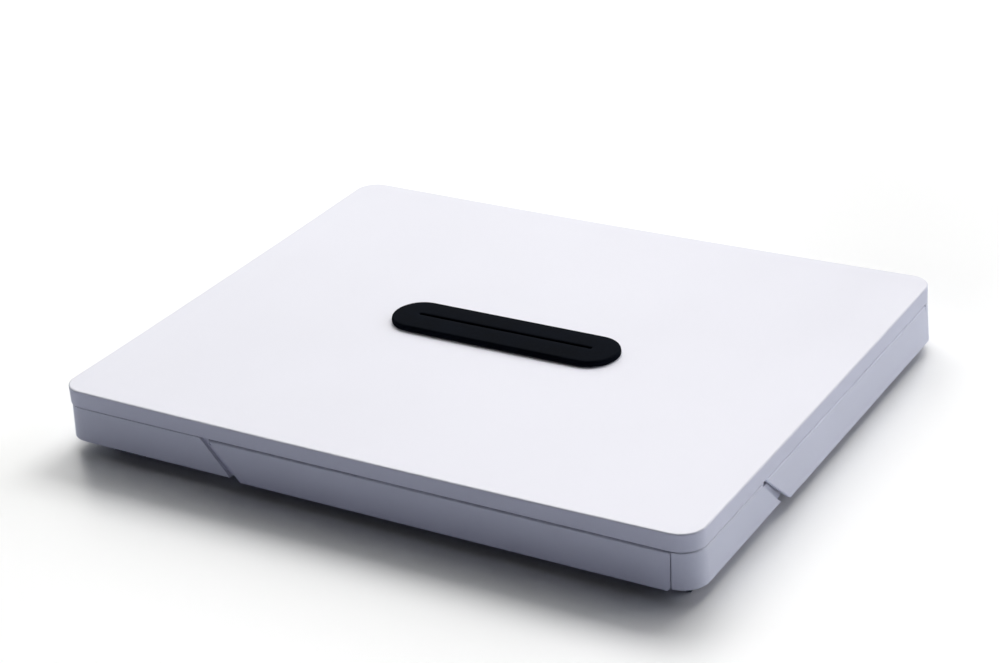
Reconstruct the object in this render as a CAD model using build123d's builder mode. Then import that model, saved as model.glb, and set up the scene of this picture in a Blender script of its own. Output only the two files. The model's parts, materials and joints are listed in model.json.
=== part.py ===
from build123d import *
import os
from math import sqrt, cos, sin, radians, degrees, atan2

os.makedirs("parts", exist_ok=True)

# ---------------------------------------------------------------------------
# Gouache paint set box: a flat case with a lift-off lid that four hinged lock
# flaps hold down, a flush pull-up handle in the lid, and a base that carries
# a rack of small paint cups.  Millimetres, +Z up, X across the width, front
# at -Y, origin on the table below the centre of the lid.
# ---------------------------------------------------------------------------

# --- lid ---
LID_W = 410.0            # lid width (X)
LID_D = 328.0            # lid depth (Y)
LID_R = 14.0             # lid plan corner radius
Z_TOP = 40.0             # lid top at its corners
SKIRT_H = 10.8           # height of the lid's skirt
LID_T = 2.2              # wall of the lid
DISH = 2.2               # the lid's top is this much lower in its middle
DISH_R = ((LID_W / 2) ** 2 + (LID_D / 2) ** 2) / (2 * DISH)
LID_EDGE_R = 1.0         # fillet round the lid's top edge

# --- base ---
BASE_X, BASE_Y = 1.0, -1.0   # the loose lid sits this much off the base
BASE_INSET = 0.6         # base face at the parting line, inside the lid's edge
BASE_FLARE = 1.0         # the base widens this much from parting to bottom
PART_GAP = 0.35          # gap between the skirt and the base
Z_BASE = 7.9             # bottom edge of the base's corner blocks
WALL_DEPTH = 5.4         # inner wall's outer face, behind the base's face
WALL_T = 2.0             # inner wall
Z_NECK = 34.5            # top of the neck inside the lid
FOOT_H = Z_BASE          # feet lift the base off the table

# --- rack, cups and paint ---
Z_DECK = 24.4            # top of the cup rack
DECK_T = 1.6
COLS, ROWS = 14, 8
PITCH_X, PITCH_Y = 27.4, 37.4
CUP_X, CUP_Y = 24.6, 34.6    # cup body at the rack
CUP_DEPTH = 16.0
CUP_WALL = 0.7
CUP_DRAFT = 0.9          # the cup narrows this much per side to its bottom
CUP_RIM = 0.9            # rim's overhang on the rack
RIM_T = 0.8
PAINT_LEVEL = 3.6        # paint surface below the rim

# --- flaps ---
BARREL_R = 2.0           # hinge barrel, centred on the hinge line
PIN_R = 0.75
PIN_CLEAR = 0.05
FLAP_T = 1.8
Z_FLAP = 6.0             # bottom edge of the flaps
LUG_W = 4.0              # width of a hinge lug under the lid
LUG_GAP = 0.4
BOSS_W = 5.0
NOTCH_ANGLE_FRONT = 0.89     # run of the slanted end per mm of height
NOTCH_ANGLE_SIDE = 1.03
RIGHT_FLAP_AJAR = 5.3        # the right flap stands this many degrees open

# --- handle ---
HANDLE_X, HANDLE_Y = 0.6, -2.0
PAD_L, PAD_W = 152.0, 34.6
PAD_H = 3.8
SLIT_L, SLIT_W, SLIT_D = 118.0, 1.8, 1.4
CORE_T = 1.9
POST_R = 3.5
POST_X = 45.0
HANDLE_TRAVEL = 6.5

# --- derived levels ---
Z_SKIRT = Z_TOP - SKIRT_H                 # lower edge of the skirt
Z_PART = Z_SKIRT - PART_GAP               # top of blocks and flaps
Z_HINGE = Z_PART - BARREL_R               # hinge line of every flap
Z_DISH = Z_TOP - DISH                     # lid's top in its middle
Z_UNDER = Z_DISH - LID_T                  # lid's underside in its middle
HX_TOP = LID_W / 2 - BASE_INSET           # base half width at the parting line
HY_TOP = LID_D / 2 - BASE_INSET
HX_BOT = HX_TOP + BASE_FLARE
HY_BOT = HY_TOP + BASE_FLARE
R_BOT = LID_R - BASE_INSET + BASE_FLARE
BASE_TAPER = degrees(atan2(BASE_FLARE, Z_PART - Z_BASE))
WX, WY = HX_TOP - WALL_DEPTH, HY_TOP - WALL_DEPTH     # inner wall's outside
WALL_R = 8.5
HINGE_F = HY_TOP - BARREL_R               # hinge line, front and back
HINGE_S = HX_TOP - BARREL_R               # hinge line, left and right

# Each side is drawn as if it were the front (length along X, outside at -Y)
# and turned about the base's centre.  kind: half distance of the hinge line,
# slanted end and square end of the flap at the parting line, gap at the
# slanted end, slope, lugs, catches.
FRONT = dict(dist=HINGE_F, notch=-98.9, square=190.0, gap=5.1,
             slope=NOTCH_ANGLE_FRONT, lugs=(-70, 10, 90, 170), catches=(-30, 50, 130))
SIDE = dict(dist=HINGE_S, notch=-77.8, square=148.5, gap=6.3,
            slope=NOTCH_ANGLE_SIDE, lugs=(-48, 26, 100), catches=(-11, 63))
SIDES = dict(front=(FRONT, 0), right=(SIDE, 90), back=(FRONT, 180), left=(SIDE, 270))
Z_NOTCH = 28.0           # level at which the slanted ends are measured


def turned(angle):
    """Place a part drawn as the front side on the side turned by angle."""
    return Location((BASE_X, BASE_Y, 0), (0, 0, angle))


def cross_plane(x, dist):
    """Plane across a flap at x: local x outward, local y up, normal -X."""
    return Plane(origin=(x, -dist, Z_HINGE), x_dir=(0, -1, 0), z_dir=(-1, 0, 0))


def slant(side, z, extra=0.0):
    """X of the slanted end at height z."""
    return side["notch"] + extra + side["slope"] * (Z_NOTCH - z)


# ---------------------------------------------------------------------------
# Lid shell: dished top plate, skirt, hinge lugs, bush holes
# ---------------------------------------------------------------------------
def lid_lug(side):
    """Hinge lugs of one side, drawn as the front: a block beside the skirt, a
    leg behind the flap and an arm that reaches the hinge line from inside."""
    skirt_in = {"f": -0.1, "b": 1.9}[side["face"]]
    with BuildPart() as lug:
        for x in side["lugs"]:
            with BuildSketch(cross_plane(x + LUG_W / 2, side["dist"])):
                with BuildLine():
                    Polyline((-3.1, -1.3), (0, -1.3), (0, 0.3), (-2.15, 0.3),
                             (-2.15, 2.4), (skirt_in, 2.4), (skirt_in, 9.6),
                             (-3.1, 9.6), close=True)
                make_face()
                Circle(1.3)
                Circle(PIN_R, mode=Mode.SUBTRACT)
            extrude(amount=LUG_W)
    return lug.part


lugs = []
for name, (side, angle) in SIDES.items():
    near = dict(side, face="f" if name in ("front", "right") else "b")
    lugs.append(lid_lug(near).moved(turned(angle)))

with BuildPart() as lid_shell:
    with BuildSketch(Plane.XY.offset(Z_SKIRT)):
        RectangleRounded(LID_W, LID_D, LID_R)
    extrude(amount=Z_TOP - Z_SKIRT + 1.0)
    with Locations((0, 0, Z_DISH + DISH_R)):
        Sphere(DISH_R, rotation=(90, 0, 0), mode=Mode.SUBTRACT)
    fillet(lid_shell.faces().sort_by(Axis.Z)[-1].edges(), radius=LID_EDGE_R)
    # hollow inside, with the same dish
    with BuildPart(mode=Mode.PRIVATE) as hollow:
        with BuildSketch(Plane.XY.offset(Z_SKIRT - 1.0)):
            RectangleRounded(LID_W - 2 * LID_T, LID_D - 2 * LID_T, LID_R - LID_T)
        extrude(amount=Z_TOP - Z_SKIRT + 1.0)
        with Locations((0, 0, Z_UNDER + DISH_R)):
            Sphere(DISH_R, rotation=(90, 0, 0), mode=Mode.SUBTRACT)
    add(hollow.part, mode=Mode.SUBTRACT)
    for lug in lugs:
        add(lug)
    # bush holes for the handle's posts, with a collar below
    with BuildSketch(Plane.XY.offset(Z_UNDER - 0.9)):
        with Locations((HANDLE_X - POST_X, HANDLE_Y), (HANDLE_X + POST_X, HANDLE_Y)):
            Circle(POST_R + 4.0)
    extrude(amount=1.8)
    with BuildSketch(Plane.XY.offset(Z_UNDER - 2.0)):
        with Locations((HANDLE_X - POST_X, HANDLE_Y), (HANDLE_X + POST_X, HANDLE_Y)):
            Circle(POST_R + 1.6)
    extrude(amount=8.0, mode=Mode.SUBTRACT)
lid_shell.part.label = "lid_shell"
export_step(lid_shell.part, "parts/lid_shell.step")

# ---------------------------------------------------------------------------
# Lid seal: soft ring under the lid, over the neck
# ---------------------------------------------------------------------------
with BuildPart() as lid_seal:
    with BuildSketch(Plane.XY.offset(Z_NECK + 0.1)):
        with Locations((BASE_X, BASE_Y)):
            RectangleRounded(2 * WX + 0.6, 2 * WY + 0.6, WALL_R + 0.3)
            RectangleRounded(2 * WX - 5.0, 2 * WY - 5.0, WALL_R - 2.5, mode=Mode.SUBTRACT)
    extrude(amount=5.0)
    with Locations((0, 0, Z_UNDER + DISH_R)):
        Sphere(DISH_R, rotation=(90, 0, 0), mode=Mode.SUBTRACT)
lid_seal.part.label = "lid_seal"
export_step(lid_seal.part, "parts/lid_seal.step")

# ---------------------------------------------------------------------------
# Lock flaps: plate with a rolled top edge, barrels, snap beads
# ---------------------------------------------------------------------------
FLARE = BASE_FLARE * (Z_HINGE - Z_FLAP) / (Z_PART - Z_BASE)
DROP = Z_HINGE - Z_FLAP


def make_flap(side):
    """One lock flap drawn as the front side, shut."""
    x0 = side["notch"] - 4.0
    x1 = side["square"]
    with BuildPart() as flap:
        with BuildSketch(cross_plane(x1, side["dist"])):
            with BuildLine():
                Polyline((BARREL_R, 0), (BARREL_R + FLARE, -DROP),
                         (BARREL_R + FLARE - FLAP_T, -DROP),
                         (BARREL_R - FLAP_T, 0),
                         (BARREL_R - FLAP_T, sqrt(BARREL_R ** 2 - (BARREL_R - FLAP_T) ** 2)))
                ThreePointArc((BARREL_R - FLAP_T, sqrt(BARREL_R ** 2 - (BARREL_R - FLAP_T) ** 2)),
                              (BARREL_R * cos(radians(42)), BARREL_R * sin(radians(42))),
                              (BARREL_R, 0))
            make_face()
        extrude(amount=x1 - x0)
        # outline seen from outside: slanted end, rounded lower corners
        with BuildSketch(Plane(origin=(0, -side["dist"] - 10, 0), x_dir=(1, 0, 0), z_dir=(0, -1, 0))) as outline:
            with BuildLine():
                Polyline((slant(side, Z_PART + 2), Z_PART + 2), (slant(side, Z_FLAP), Z_FLAP),
                         (x1, Z_FLAP), (x1, Z_PART + 2), close=True)
            make_face()
            fillet(outline.vertices().group_by(Axis.Y)[0], radius=3.0)
        extrude(amount=-20, mode=Mode.INTERSECT)
        # hinge barrels each side of every lug
        for x in side["lugs"]:
            for xs in (x + LUG_W / 2 + LUG_GAP + BOSS_W, x - LUG_W / 2 - LUG_GAP):
                with BuildSketch(cross_plane(xs, side["dist"])):
                    Circle(BARREL_R)
                extrude(amount=BOSS_W)
        # clearance for the lug, under a thin skin
        for x in side["lugs"]:
            half = LUG_W / 2 + LUG_GAP
            with BuildSketch(cross_plane(x + half, side["dist"])):
                with BuildLine():
                    Polyline((-5, -1.6), (0.5, -1.6), (0.5, 3), (-5, 3), close=True)
                make_face()
                Circle(BARREL_R - 0.5)
            extrude(amount=2 * half, mode=Mode.SUBTRACT)
            with BuildSketch(cross_plane(x + half + BOSS_W + 1, side["dist"])):
                Circle(PIN_R + PIN_CLEAR)
            extrude(amount=2 * (half + BOSS_W + 1), mode=Mode.SUBTRACT)
        # snap beads on the inside, low down
        u = BARREL_R - FLAP_T + FLARE * 16 / DROP
        for x in side["catches"]:
            with BuildSketch(cross_plane(x + 15, side["dist"])):
                with BuildLine():
                    Polyline((u + 0.3, -14.9), (u - 0.05, -15.0), (0.07, -15.9),
                             (0.07, -16.3), (u + 0.0, -17.4), (u + 0.3, -17.5), close=True)
                make_face()
            extrude(amount=30)
    return flap.part


def make_pins(side):
    """Hinge pins of one side, drawn as the front."""
    length = LUG_W + 2 * LUG_GAP + 2 * BOSS_W - 0.6
    with BuildPart() as pins:
        for x in side["lugs"]:
            with BuildSketch(cross_plane(x + length / 2, side["dist"])):
                Circle(PIN_R)
            extrude(amount=length)
    return pins.part


for name, (side, angle) in SIDES.items():
    flap = make_flap(side).moved(turned(angle))
    if name == "right":
        hinge = Axis((BASE_X + HINGE_S, 0, Z_HINGE), (0, -1, 0))
        flap = flap.rotate(hinge, RIGHT_FLAP_AJAR)
    flap.label = name + "_lock_flap"
    export_step(flap, "parts/" + name + "_lock_flap.step")
    pins = make_pins(side).moved(turned(angle))
    pins.label = name + "_flap_pins"
    export_step(pins, "parts/" + name + "_flap_pins.step")

# ---------------------------------------------------------------------------
# Base frame: four corner blocks round an inner wall whose neck stands in the
# lid, a ledge for the rack, catches for the flaps
# ---------------------------------------------------------------------------
def side_cut(side):
    """Room for one flap, drawn as the front: everything outside the inner
    wall between two corner blocks."""
    gap, x1 = side["gap"], side["square"] + 0.8
    face = side["dist"] - (WALL_DEPTH - BARREL_R)
    with BuildPart() as cut:
        with BuildSketch(Plane(origin=(0, -face, 0), x_dir=(1, 0, 0), z_dir=(0, -1, 0))):
            with BuildLine():
                Polyline((slant(side, 45, -gap), 45), (slant(side, 0, -gap), 0), (x1, 0),
                         (x1, 45), close=True)
            make_face()
        extrude(amount=30)
    return cut.part


def side_adds(side):
    """Catches on the inner wall and the floor of the finger notch."""
    gap = side["gap"]
    face = side["dist"] - (WALL_DEPTH - BARREL_R)
    with BuildPart() as more:
        for x in side["catches"]:
            with BuildSketch(cross_plane(x + 16, side["dist"])):
                with BuildLine():
                    Polyline((-3.6, -11.5), (-0.25, -13.7), (-0.25, -14.6), (-3.6, -14.6), close=True)
                make_face()
            extrude(amount=32)
        # notch floor: a shallow plate in the gap and a deeper one under the flap's end
        for depth, right in ((0.6, -1.8), (2.2, 4.0)):
            with BuildSketch(Plane(origin=(0, -side["dist"] + depth, 0), x_dir=(1, 0, 0), z_dir=(0, -1, 0))):
                with BuildLine():
                    Polyline((slant(side, Z_PART, -gap - 1.0), Z_PART), (slant(side, Z_BASE, -gap - 1.0), Z_BASE),
                             (slant(side, Z_BASE, right), Z_BASE), (slant(side, Z_PART, right), Z_PART), close=True)
                make_face()
            extrude(amount=-(WALL_DEPTH - BARREL_R - depth + 0.2))
    return more.part


side_cuts = [side_cut(s).moved(turned(a)) for s, a in SIDES.values()]
side_more = [side_adds(s).moved(turned(a)) for s, a in SIDES.values()]

# snap nubs over the rack's edge, (x, y, length along X, length along Y)
NUBS = [(sx * (WX - WALL_T), y, 1.2, 24.0) for sx in (-1, 1) for y in (-95, 0, 95)] + \
       [(x, sy * (WY - WALL_T), 24.0, 1.2) for sy in (-1, 1) for x in (-120, 0, 120)]

# feet: (x, y, length along X, length along Y) from the base's centre
FOOT_LONG, FOOT_WIDE = 32.0, 8.0
FEET = [(-166.5, -152.9, FOOT_LONG, FOOT_WIDE), (166.5, 152.9, FOOT_LONG, FOOT_WIDE),
        (194.0, -140.9, FOOT_WIDE, FOOT_LONG), (-194.0, 140.9, FOOT_WIDE, FOOT_LONG)]
STUD_R = 1.3
SEAT_T = 2.0


def seat(x, y, lx, ly):
    """Centre and size of the foot's seat: from the inner wall inwards."""
    if lx > ly:
        inner, outer = 148.9, WY - 0.5
        return (x, (1 if y > 0 else -1) * (inner + outer) / 2, lx + 8, outer - inner)
    inner, outer = 190.2, WX - 0.5
    return ((1 if x > 0 else -1) * (inner + outer) / 2, y, outer - inner, ly + 8)


def studs(x, y, lx, ly):
    """Centres of a foot's two studs, inside the wall."""
    if lx > ly:
        v = (1 if y > 0 else -1) * 152.4
        return [(x - 9, v), (x + 9, v)]
    v = (1 if x > 0 else -1) * 193.5
    return [(v, y - 9), (v, y + 9)]


with BuildPart() as base_frame:
    with BuildSketch(Plane.XY.offset(Z_BASE)):
        with Locations((BASE_X, BASE_Y)):
            RectangleRounded(2 * HX_BOT, 2 * HY_BOT, R_BOT)
    extrude(amount=Z_PART - Z_BASE, taper=BASE_TAPER)
    with BuildSketch(Plane.XY.offset(Z_BASE - 1)):
        with Locations((BASE_X, BASE_Y)):
            RectangleRounded(2 * WX, 2 * WY, WALL_R)
    extrude(amount=40, mode=Mode.SUBTRACT)
    for cut in side_cuts:
        add(cut, mode=Mode.SUBTRACT)
    # blocks are hollow from below, with solid ends
    with BuildSketch(Plane.XY.offset(Z_BASE)):
        with Locations((BASE_X, BASE_Y)):
            RectangleRounded(2 * HX_TOP - 4.4, 2 * HY_TOP - 4.4, LID_R - 3)
            RectangleRounded(2 * WX, 2 * WY, WALL_R, mode=Mode.SUBTRACT)
            # solid along each flap, from its slanted end to its square end
            with Locations((43.4, -HY_TOP), (-43.4, HY_TOP)):
                Rectangle(300.8, 20, mode=Mode.SUBTRACT)
            with Locations((HX_TOP, 32.15), (-HX_TOP, -32.15)):
                Rectangle(20, 240.3, mode=Mode.SUBTRACT)
    extrude(amount=Z_PART - 2.2 - Z_BASE, mode=Mode.SUBTRACT)
    # inner wall and neck
    with BuildSketch(Plane.XY.offset(Z_BASE)):
        with Locations((BASE_X, BASE_Y)):
            RectangleRounded(2 * WX, 2 * WY, WALL_R)
            RectangleRounded(2 * (WX - WALL_T), 2 * (WY - WALL_T), WALL_R - WALL_T, mode=Mode.SUBTRACT)
    extrude(amount=Z_NECK - Z_BASE)
    # ledge under the rack
    with BuildSketch(Plane.XY.offset(Z_DECK - DECK_T - 2.0)):
        with Locations((BASE_X, BASE_Y)):
            RectangleRounded(2 * (WX - WALL_T) + 0.4, 2 * (WY - WALL_T) + 0.4, WALL_R - WALL_T)
            RectangleRounded(2 * (WX - WALL_T - 3.6), 2 * (WY - WALL_T - 3.6), 3.0, mode=Mode.SUBTRACT)
    extrude(amount=2.0)
    for more in side_more:
        add(more)
    # nubs that hold the rack down
    with BuildSketch(Plane.XY.offset(Z_DECK + 0.05)):
        with Locations((BASE_X, BASE_Y)):
            for x, y, lx, ly in NUBS:
                with Locations((x, y)):
                    Rectangle(lx, ly)
    extrude(amount=1.0)
    # seats for the feet, with stud holes
    with BuildSketch(Plane.XY.offset(Z_BASE)):
        with Locations((BASE_X, BASE_Y)):
            for foot in FEET:
                x, y, lx, ly = seat(*foot)
                with Locations((x, y)):
                    Rectangle(lx, ly)
    extrude(amount=SEAT_T)
    with BuildSketch(Plane.XY.offset(Z_BASE)):
        with Locations((BASE_X, BASE_Y)):
            for foot in FEET:
                with Locations(*studs(*foot)):
                    Circle(STUD_R)
    extrude(amount=SEAT_T, mode=Mode.SUBTRACT)
base_frame.part.label = "base_frame"
export_step(base_frame.part, "parts/base_frame.step")

# ---------------------------------------------------------------------------
# Cup rack: deck with an opening for every cup, ribs below between the cups
# ---------------------------------------------------------------------------
with BuildPart() as cup_rack:
    with BuildSketch(Plane.XY.offset(Z_DECK - DECK_T)):
        with Locations((BASE_X, BASE_Y)):
            RectangleRounded(2 * (WX - WALL_T) - 0.4, 2 * (WY - WALL_T) - 0.4, WALL_R - WALL_T - 0.2)
    extrude(amount=DECK_T)
    with BuildSketch(Plane.XY.offset(Z_DECK - DECK_T - 7.0)):
        with Locations((BASE_X, BASE_Y)):
            with GridLocations(0, PITCH_Y, 1, ROWS + 1):
                Rectangle(COLS * PITCH_X + 1.2, 1.2)
            with GridLocations(PITCH_X, 0, COLS + 1, 1):
                Rectangle(1.2, ROWS * PITCH_Y + 1.2)
    extrude(amount=7.0)
    with BuildSketch(Plane.XY.offset(Z_DECK - DECK_T)):
        with Locations((BASE_X, BASE_Y)):
            with GridLocations(PITCH_X, PITCH_Y, COLS, ROWS):
                RectangleRounded(CUP_X + 0.6, CUP_Y + 0.6, 4.8)
    extrude(amount=DECK_T, mode=Mode.SUBTRACT)
cup_rack.part.label = "cup_rack"
export_step(cup_rack.part, "parts/cup_rack.step")

# ---------------------------------------------------------------------------
# Cups and paint, one node for each column of the rack
# ---------------------------------------------------------------------------
CUP_TAPER = degrees(atan2(CUP_DRAFT, CUP_DEPTH))
Z_CUP = Z_DECK - CUP_DEPTH
with BuildPart() as one_cup:
    with BuildSketch(Plane.XY.offset(Z_CUP)):
        RectangleRounded(CUP_X - 2 * CUP_DRAFT, CUP_Y - 2 * CUP_DRAFT, 3.6)
    extrude(amount=CUP_DEPTH, taper=-CUP_TAPER)
    with BuildSketch(Plane.XY.offset(Z_DECK)):
        RectangleRounded(CUP_X + 2 * CUP_RIM, CUP_Y + 2 * CUP_RIM, 5.2)
    extrude(amount=RIM_T)
    with BuildSketch(Plane.XY.offset(Z_CUP + 0.8)):
        RectangleRounded(CUP_X - 2 * CUP_DRAFT - 2 * CUP_WALL, CUP_Y - 2 * CUP_DRAFT - 2 * CUP_WALL, 2.9)
    extrude(amount=CUP_DEPTH, taper=-CUP_TAPER, mode=Mode.SUBTRACT)

FILL = RIM_T + CUP_DEPTH - 0.8 - PAINT_LEVEL
with BuildPart() as one_fill:
    with BuildSketch(Plane.XY.offset(Z_CUP + 0.85)):
        RectangleRounded(CUP_X - 2 * CUP_DRAFT - 2 * CUP_WALL - 0.1,
                         CUP_Y - 2 * CUP_DRAFT - 2 * CUP_WALL - 0.1, 2.85)
    extrude(amount=FILL, taper=-CUP_TAPER)

for col in range(COLS):
    x = BASE_X + (col - (COLS - 1) / 2) * PITCH_X
    spots = [(x, BASE_Y + (row - (ROWS - 1) / 2) * PITCH_Y) for row in range(ROWS)]
    with BuildPart() as cups:
        with Locations(*spots):
            add(one_cup.part)
    cups.part.label = "cups_column_%02d" % (col + 1)
    export_step(cups.part, "parts/cups_column_%02d.step" % (col + 1))
    with BuildPart() as paint:
        with Locations(*spots):
            add(one_fill.part)
    paint.part.label = "paint_column_%02d" % (col + 1)
    export_step(paint.part, "parts/paint_column_%02d.step" % (col + 1))

# ---------------------------------------------------------------------------
# Rubber feet near the corners, with studs pressed into the seats
# ---------------------------------------------------------------------------
with BuildPart() as rubber_feet:
    with BuildSketch(Plane.XY):
        with Locations((BASE_X, BASE_Y)):
            for x, y, lx, ly in FEET:
                with Locations((x, y)):
                    RectangleRounded(lx, ly, 2.5)
    extrude(amount=FOOT_H)
    fillet(rubber_feet.faces().filter_by(Axis.Z).group_by(Axis.Z)[0].edges(), radius=1.0)
    with BuildSketch(Plane.XY.offset(FOOT_H)):
        with Locations((BASE_X, BASE_Y)):
            for foot in FEET:
                with Locations(*studs(*foot)):
                    Circle(STUD_R - 0.05)
    extrude(amount=SEAT_T + 0.4)
rubber_feet.part.label = "rubber_feet"
export_step(rubber_feet.part, "parts/rubber_feet.step")

# ---------------------------------------------------------------------------
# Handle: rubber grip over a stiff core, two posts in bushes, shoulder screws
# ---------------------------------------------------------------------------
Z_PAD = Z_DISH + 0.3
with BuildPart() as handle_core:
    with BuildSketch(Plane.XY.offset(Z_PAD)):
        with Locations((HANDLE_X, HANDLE_Y)):
            SlotOverall(PAD_L - 12, PAD_W - 12)
    extrude(amount=CORE_T)
    with BuildSketch(Plane.XY.offset(Z_PAD)):
        with Locations((HANDLE_X - POST_X, HANDLE_Y), (HANDLE_X + POST_X, HANDLE_Y)):
            Circle(1.3)
    extrude(amount=CORE_T, mode=Mode.SUBTRACT)
handle_core.part.label = "handle_core"
export_step(handle_core.part, "parts/handle_core.step")

with BuildPart() as handle_grip:
    with BuildSketch(Plane.XY.offset(Z_PAD)):
        with Locations((HANDLE_X, HANDLE_Y)):
            SlotOverall(PAD_L, PAD_W)
    extrude(amount=PAD_H)
    fillet(handle_grip.faces().sort_by(Axis.Z)[-1].edges(), radius=1.3)
    with BuildSketch(Plane.XY.offset(Z_PAD)):
        with Locations((HANDLE_X, HANDLE_Y)):
            SlotOverall(PAD_L - 11.8, PAD_W - 11.8)
    extrude(amount=CORE_T, mode=Mode.SUBTRACT)
    with BuildSketch(Plane.XY.offset(Z_PAD + PAD_H - SLIT_D)):
        with Locations((HANDLE_X, HANDLE_Y)):
            SlotOverall(SLIT_L, SLIT_W)
    extrude(amount=SLIT_D + 1, mode=Mode.SUBTRACT)
handle_grip.part.label = "handle_grip"
export_step(handle_grip.part, "parts/handle_grip.step")

Z_BUSH = Z_UNDER - 1.0               # lower end of the bushes
Z_POST = Z_BUSH - HANDLE_TRAVEL      # lower end of the posts
with BuildPart() as handle_posts:
    with BuildSketch(Plane.XY.offset(Z_POST)):
        with Locations((HANDLE_X - POST_X, HANDLE_Y), (HANDLE_X + POST_X, HANDLE_Y)):
            Circle(POST_R)
            Circle(1.5, mode=Mode.SUBTRACT)
    extrude(amount=Z_PAD - Z_POST)
handle_posts.part.label = "handle_posts"
export_step(handle_posts.part, "parts/handle_posts.step")

with BuildPart() as handle_bushes:
    with BuildSketch(Plane.XY.offset(Z_BUSH)):
        with Locations((HANDLE_X - POST_X, HANDLE_Y), (HANDLE_X + POST_X, HANDLE_Y)):
            Circle(POST_R + 1.6)
            Circle(POST_R + 0.05, mode=Mode.SUBTRACT)
    extrude(amount=Z_DISH - 0.2 - Z_BUSH)
handle_bushes.part.label = "handle_bushes"
export_step(handle_bushes.part, "parts/handle_bushes.step")

with BuildPart() as handle_screws:
    with BuildSketch(Plane.XY.offset(Z_POST - 1.3)):
        with Locations((HANDLE_X - POST_X, HANDLE_Y), (HANDLE_X + POST_X, HANDLE_Y)):
            Circle(5.2)
    extrude(amount=1.3)
    with BuildSketch(Plane.XY.offset(Z_POST)):
        with Locations((HANDLE_X - POST_X, HANDLE_Y), (HANDLE_X + POST_X, HANDLE_Y)):
            Circle(1.25)
    extrude(amount=Z_PAD + CORE_T - 0.1 - Z_POST)
handle_screws.part.label = "handle_screws"
export_step(handle_screws.part, "parts/handle_screws.step")

print("hinge line z", Z_HINGE, "front y", BASE_Y - HINGE_F, "right x", BASE_X + HINGE_S,
      "back y", BASE_Y + HINGE_F, "left x", BASE_X - HINGE_S)
print("cups top", Z_DECK + RIM_T, "handle screw bottom", Z_POST - 1.3)
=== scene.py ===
import bpy, bmesh, math, json, random
from mathutils import Vector, Matrix, noise


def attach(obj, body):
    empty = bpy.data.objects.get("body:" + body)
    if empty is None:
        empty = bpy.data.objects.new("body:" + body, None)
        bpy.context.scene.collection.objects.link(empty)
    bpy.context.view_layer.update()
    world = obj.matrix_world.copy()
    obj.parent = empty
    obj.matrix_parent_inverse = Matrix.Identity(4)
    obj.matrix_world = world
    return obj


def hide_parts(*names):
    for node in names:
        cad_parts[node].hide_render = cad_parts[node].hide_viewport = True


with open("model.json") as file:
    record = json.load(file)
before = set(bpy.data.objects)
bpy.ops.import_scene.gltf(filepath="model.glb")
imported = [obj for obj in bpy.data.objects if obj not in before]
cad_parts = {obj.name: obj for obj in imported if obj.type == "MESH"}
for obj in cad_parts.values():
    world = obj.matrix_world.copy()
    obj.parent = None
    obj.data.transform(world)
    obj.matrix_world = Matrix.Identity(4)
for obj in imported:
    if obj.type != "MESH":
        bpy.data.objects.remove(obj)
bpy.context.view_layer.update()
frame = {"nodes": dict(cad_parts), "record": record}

MM = 0.001
# ---------------------------------------------------------------- dimensions
LID_W, LID_D, LID_R = 410.0, 328.0, 14.0
Z_TOP, SKIRT_H, LID_T, DISH = 40.0, 10.8, 2.2, 2.2
DISH_R = ((LID_W / 2) ** 2 + (LID_D / 2) ** 2) / (2 * DISH)
Z_DISH = Z_TOP - DISH
Z_UNDER = Z_DISH - LID_T
Z_SKIRT = Z_TOP - SKIRT_H
BX, BY = 1.0, -1.0
HANDLE_X, HANDLE_Y = 0.6, -2.0
PAD_L, PAD_W, PAD_H = 152.0, 34.6, 3.8
SLIT_L, SLIT_W, SLIT_D = 118.0, 1.8, 1.4
CORE_T = 1.9
Z_PAD = Z_DISH + 0.3
Z_DECK = 24.4
PITCH_X, PITCH_Y, COLS, ROWS = 27.4, 37.4, 14, 8
CUP_X, CUP_Y, CUP_DEPTH, CUP_WALL, CUP_DRAFT, CUP_RIM, RIM_T = 24.6, 34.6, 16.0, 0.7, 0.9, 0.9, 0.8
PAINT_LEVEL = 3.6


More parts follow.
